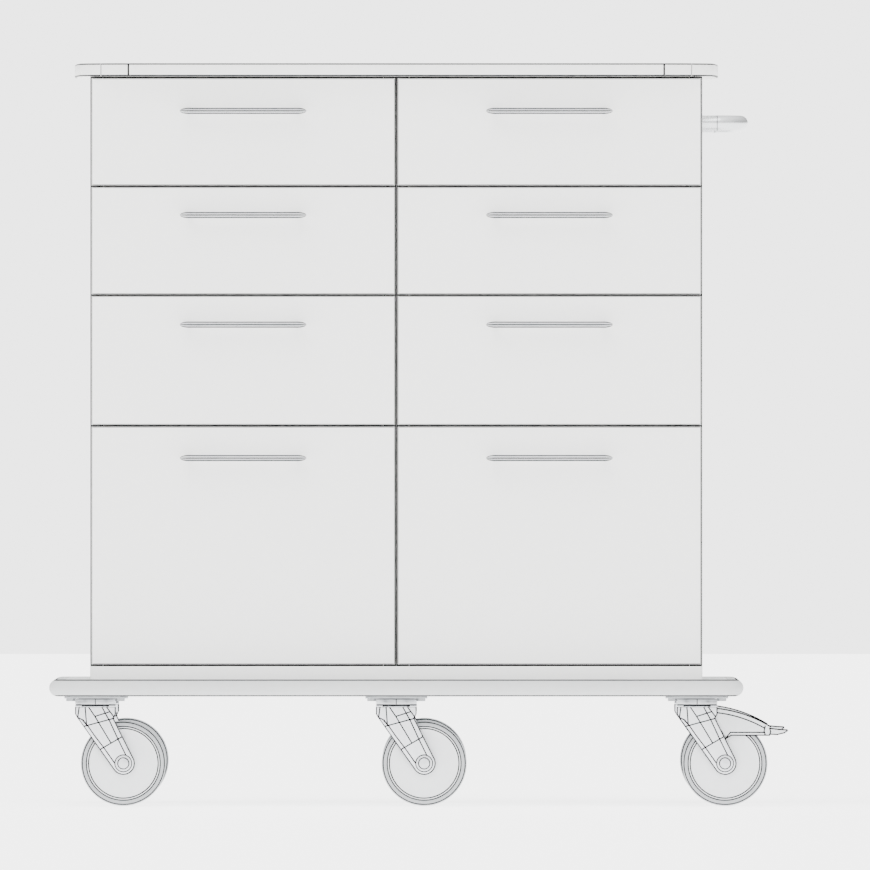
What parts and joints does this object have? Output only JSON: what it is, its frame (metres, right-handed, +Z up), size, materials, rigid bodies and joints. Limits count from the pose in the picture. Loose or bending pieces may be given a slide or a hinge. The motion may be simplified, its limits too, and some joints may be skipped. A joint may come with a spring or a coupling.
{
  "type": "instrument cart",
  "caption": "Two-column drawer cart with a slab worktop, bow pulls, an end push handle, a bumper base and braked swivel casters.",
  "frame": {"origin": "on the floor, under the middle of the whole outline, brake pedals included", "axes": "+X to the push handle end, +Y to the back, -Y the way the drawers open, +Z up"},
  "size_m": [1.0865, 0.74, 1.091],
  "materials": {
    "worktop_laminate": "white high-pressure laminate on board, satin",
    "cabinet_laminate": "white melamine-faced board, satin",
    "front_laminate": "white high-pressure laminate on board, satin",
    "drawer_laminate": "pale grey melamine-faced board",
    "base_laminate": "pale grey laminate on board",
    "bumper_rubber": "pale grey non-marking rubber, matt",
    "handle_steel": "satin stainless tube",
    "pull_steel": "satin stainless bar",
    "fastener_steel": "bright zinc-plated steel",
    "runner_steel": "zinc-plated steel strip",
    "caster_zinc": "bright zinc-plated pressed steel",
    "pedal_grey": "pale grey coated steel",
    "wheel_grey": "grey non-marking tread on a pale rim"
  },
  "bodies": {
    "cabinet": {"worktop": "worktop_laminate", "left_outer_side": "cabinet_laminate", "right_outer_side": "cabinet_laminate", "inner_sides": "cabinet_laminate", "module_bottoms": "cabinet_laminate", "module_backs": "cabinet_laminate", "top_rails": "cabinet_laminate", "plinth_panel": "cabinet_laminate", "base_board": "base_laminate", "base_bumper": "bumper_rubber", "push_handle": "handle_steel", "cabinet_fasteners": "fastener_steel", "cabinet_runner_members": "runner_steel", "caster_mounts": "caster_zinc"},
    "left_top_drawer": {"left_top_drawer_box": "drawer_laminate", "left_top_drawer_front": "front_laminate", "left_top_drawer_pull": "pull_steel"},
    "left_top_drawer_middle_runners": {"left_top_drawer_middle_runners": "runner_steel"},
    "left_upper_drawer": {"left_upper_drawer_box": "drawer_laminate", "left_upper_drawer_front": "front_laminate", "left_upper_drawer_pull": "pull_steel"},
    "left_upper_drawer_middle_runners": {"left_upper_drawer_middle_runners": "runner_steel"},
    "left_middle_drawer": {"left_middle_drawer_box": "drawer_laminate", "left_middle_drawer_front": "front_laminate", "left_middle_drawer_pull": "pull_steel"},
    "left_middle_drawer_middle_runners": {"left_middle_drawer_middle_runners": "runner_steel"},
    "left_bottom_drawer": {"left_bottom_drawer_box": "drawer_laminate", "left_bottom_drawer_front": "front_laminate", "left_bottom_drawer_pull": "pull_steel"},
    "left_bottom_drawer_middle_runners": {"left_bottom_drawer_middle_runners": "runner_steel"},
    "right_top_drawer": {"right_top_drawer_box": "drawer_laminate", "right_top_drawer_front": "front_laminate", "right_top_drawer_pull": "pull_steel"},
    "right_top_drawer_middle_runners": {"right_top_drawer_middle_runners": "runner_steel"},
    "right_upper_drawer": {"right_upper_drawer_box": "drawer_laminate", "right_upper_drawer_front": "front_laminate", "right_upper_drawer_pull": "pull_steel"},
    "right_upper_drawer_middle_runners": {"right_upper_drawer_middle_runners": "runner_steel"},
    "right_middle_drawer": {"right_middle_drawer_box": "drawer_laminate", "right_middle_drawer_front": "front_laminate", "right_middle_drawer_pull": "pull_steel"},
    "right_middle_drawer_middle_runners": {"right_middle_drawer_middle_runners": "runner_steel"},
    "right_bottom_drawer": {"right_bottom_drawer_box": "drawer_laminate", "right_bottom_drawer_front": "front_laminate", "right_bottom_drawer_pull": "pull_steel"},
    "right_bottom_drawer_middle_runners": {"right_bottom_drawer_middle_runners": "runner_steel"},
    "front_left_caster": {"front_left_fork": "caster_zinc"},
    "front_left_wheel": {"front_left_wheel": "wheel_grey"},
    "front_centre_caster": {"front_centre_fork": "caster_zinc"},
    "front_centre_wheel": {"front_centre_wheel": "wheel_grey"},
    "front_right_caster": {"front_right_fork": "caster_zinc"},
    "front_right_wheel": {"front_right_wheel": "wheel_grey"},
    "front_right_brake_pedal": {"front_right_brake_pedal": "pedal_grey"},
    "rear_left_caster": {"rear_left_fork": "caster_zinc"},
    "rear_left_wheel": {"rear_left_wheel": "wheel_grey"},
    "rear_centre_caster": {"rear_centre_fork": "caster_zinc"},
    "rear_centre_wheel": {"rear_centre_wheel": "wheel_grey"},
    "rear_right_caster": {"rear_right_fork": "caster_zinc"},
    "rear_right_wheel": {"rear_right_wheel": "wheel_grey"},
    "rear_right_brake_pedal": {"rear_right_brake_pedal": "pedal_grey"}
  },
  "joints": [
    {"name": "left_top_drawer_slide", "type": "slide", "parent": "cabinet", "child": "left_top_drawer", "axis": [0, -1, 0], "range_m": [0, 0.5]},
    {"name": "left_top_drawer_runner_slide", "type": "slide", "parent": "cabinet", "child": "left_top_drawer_middle_runners", "axis": [0, -1, 0], "range_m": [0, 0.25]},
    {"name": "left_upper_drawer_slide", "type": "slide", "parent": "cabinet", "child": "left_upper_drawer", "axis": [0, -1, 0], "range_m": [0, 0.5]},
    {"name": "left_upper_drawer_runner_slide", "type": "slide", "parent": "cabinet", "child": "left_upper_drawer_middle_runners", "axis": [0, -1, 0], "range_m": [0, 0.25]},
    {"name": "left_middle_drawer_slide", "type": "slide", "parent": "cabinet", "child": "left_middle_drawer", "axis": [0, -1, 0], "range_m": [0, 0.5]},
    {"name": "left_middle_drawer_runner_slide", "type": "slide", "parent": "cabinet", "child": "left_middle_drawer_middle_runners", "axis": [0, -1, 0], "range_m": [0, 0.25]},
    {"name": "left_bottom_drawer_slide", "type": "slide", "parent": "cabinet", "child": "left_bottom_drawer", "axis": [0, -1, 0], "range_m": [0, 0.5]},
    {"name": "left_bottom_drawer_runner_slide", "type": "slide", "parent": "cabinet", "child": "left_bottom_drawer_middle_runners", "axis": [0, -1, 0], "range_m": [0, 0.25]},
    {"name": "right_top_drawer_slide", "type": "slide", "parent": "cabinet", "child": "right_top_drawer", "axis": [0, -1, 0], "range_m": [0, 0.5]},
    {"name": "right_top_drawer_runner_slide", "type": "slide", "parent": "cabinet", "child": "right_top_drawer_middle_runners", "axis": [0, -1, 0], "range_m": [0, 0.25]},
    {"name": "right_upper_drawer_slide", "type": "slide", "parent": "cabinet", "child": "right_upper_drawer", "axis": [0, -1, 0], "range_m": [0, 0.5]},
    {"name": "right_upper_drawer_runner_slide", "type": "slide", "parent": "cabinet", "child": "right_upper_drawer_middle_runners", "axis": [0, -1, 0], "range_m": [0, 0.25]},
    {"name": "right_middle_drawer_slide", "type": "slide", "parent": "cabinet", "child": "right_middle_drawer", "axis": [0, -1, 0], "range_m": [0, 0.5]},
    {"name": "right_middle_drawer_runner_slide", "type": "slide", "parent": "cabinet", "child": "right_middle_drawer_middle_runners", "axis": [0, -1, 0], "range_m": [0, 0.25]},
    {"name": "right_bottom_drawer_slide", "type": "slide", "parent": "cabinet", "child": "right_bottom_drawer", "axis": [0, -1, 0], "range_m": [0, 0.5]},
    {"name": "right_bottom_drawer_runner_slide", "type": "slide", "parent": "cabinet", "child": "right_bottom_drawer_middle_runners", "axis": [0, -1, 0], "range_m": [0, 0.25]},
    {"name": "front_left_swivel", "type": "hinge", "parent": "cabinet", "child": "front_left_caster", "pos_m": [-0.47525, -0.302, 0.161], "axis": [0, 0, 1], "continuous": true},
    {"name": "front_left_roll", "type": "hinge", "parent": "front_left_caster", "child": "front_left_wheel", "pos_m": [-0.43425, -0.302, 0.0625], "axis": [0, 1, 0], "continuous": true},
    {"name": "front_centre_swivel", "type": "hinge", "parent": "cabinet", "child": "front_centre_caster", "pos_m": [-0.03325, -0.302, 0.161], "axis": [0, 0, 1], "continuous": true},
    {"name": "front_centre_roll", "type": "hinge", "parent": "front_centre_caster", "child": "front_centre_wheel", "pos_m": [0.00775, -0.302, 0.0625], "axis": [0, 1, 0], "continuous": true},
    {"name": "front_right_swivel", "type": "hinge", "parent": "cabinet", "child": "front_right_caster", "pos_m": [0.40875, -0.302, 0.161], "axis": [0, 0, 1], "continuous": true},
    {"name": "front_right_brake", "type": "hinge", "parent": "front_right_caster", "child": "front_right_brake_pedal", "pos_m": [0.42875, -0.302, 0.127], "axis": [0, 1, 0], "range_deg": [-6, 0]},
    {"name": "front_right_roll", "type": "hinge", "parent": "front_right_caster", "child": "front_right_wheel", "pos_m": [0.44975, -0.302, 0.0625], "axis": [0, 1, 0], "continuous": true},
    {"name": "rear_left_swivel", "type": "hinge", "parent": "cabinet", "child": "rear_left_caster", "pos_m": [-0.47525, 0.302, 0.161], "axis": [0, 0, 1], "continuous": true},
    {"name": "rear_left_roll", "type": "hinge", "parent": "rear_left_caster", "child": "rear_left_wheel", "pos_m": [-0.43425, 0.302, 0.0625], "axis": [0, 1, 0], "continuous": true},
    {"name": "rear_centre_swivel", "type": "hinge", "parent": "cabinet", "child": "rear_centre_caster", "pos_m": [-0.03325, 0.302, 0.161], "axis": [0, 0, 1], "continuous": true},
    {"name": "rear_centre_roll", "type": "hinge", "parent": "rear_centre_caster", "child": "rear_centre_wheel", "pos_m": [0.00775, 0.302, 0.0625], "axis": [0, 1, 0], "continuous": true},
    {"name": "rear_right_swivel", "type": "hinge", "parent": "cabinet", "child": "rear_right_caster", "pos_m": [0.40875, 0.302, 0.161], "axis": [0, 0, 1], "continuous": true},
    {"name": "rear_right_brake", "type": "hinge", "parent": "rear_right_caster", "child": "rear_right_brake_pedal", "pos_m": [0.42875, 0.302, 0.127], "axis": [0, 1, 0], "range_deg": [-6, 0]},
    {"name": "rear_right_roll", "type": "hinge", "parent": "rear_right_caster", "child": "rear_right_wheel", "pos_m": [0.44975, 0.302, 0.0625], "axis": [0, 1, 0], "continuous": true}
  ],
  "couplings": [
    {"joint": "left_top_drawer_runner_slide", "follows": "left_top_drawer_slide", "ratio": 0.5},
    {"joint": "left_upper_drawer_runner_slide", "follows": "left_upper_drawer_slide", "ratio": 0.5},
    {"joint": "left_middle_drawer_runner_slide", "follows": "left_middle_drawer_slide", "ratio": 0.5},
    {"joint": "left_bottom_drawer_runner_slide", "follows": "left_bottom_drawer_slide", "ratio": 0.5},
    {"joint": "right_top_drawer_runner_slide", "follows": "right_top_drawer_slide", "ratio": 0.5},
    {"joint": "right_upper_drawer_runner_slide", "follows": "right_upper_drawer_slide", "ratio": 0.5},
    {"joint": "right_middle_drawer_runner_slide", "follows": "right_middle_drawer_slide", "ratio": 0.5},
    {"joint": "right_bottom_drawer_runner_slide", "follows": "right_bottom_drawer_slide", "ratio": 0.5}
  ]
}
